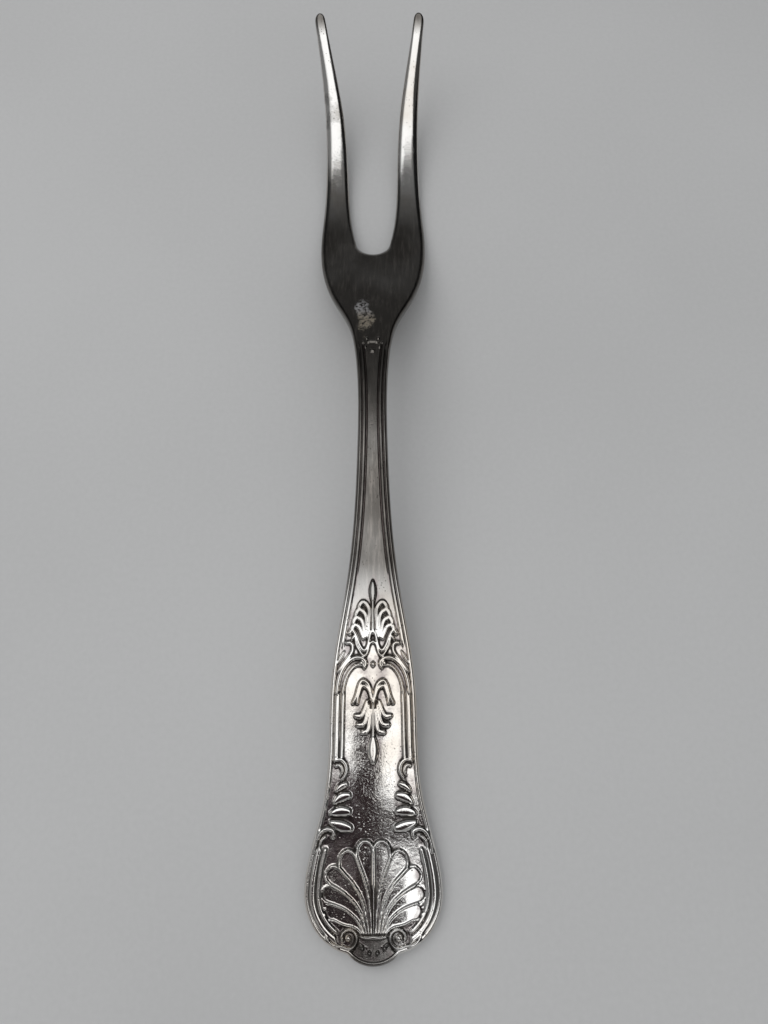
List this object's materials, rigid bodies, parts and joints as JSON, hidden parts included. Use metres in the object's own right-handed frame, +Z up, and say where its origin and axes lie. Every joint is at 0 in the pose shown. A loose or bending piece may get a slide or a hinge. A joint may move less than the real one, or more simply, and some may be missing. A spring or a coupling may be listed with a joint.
{
  "type": "serving fork",
  "caption": "One-piece two-tine serving fork with a broad fiddle handle ending in a scalloped shell, struck threads and foliage, and splayed upturned tines.",
  "frame": {"origin": "centre of the bounding box in plan, on the table the fork lies on", "axes": "+Y along the fork from the handle towards the tines, +Z up out of the ornamented face, +X to the right seen from above"},
  "size_m": [0.0281, 0.22, 0.0201],
  "materials": {
    "silver_plate": "polished silver plate, worn and tarnished"
  },
  "bodies": {
    "root": {"fork": "silver_plate"}
  },
  "joints": []
}
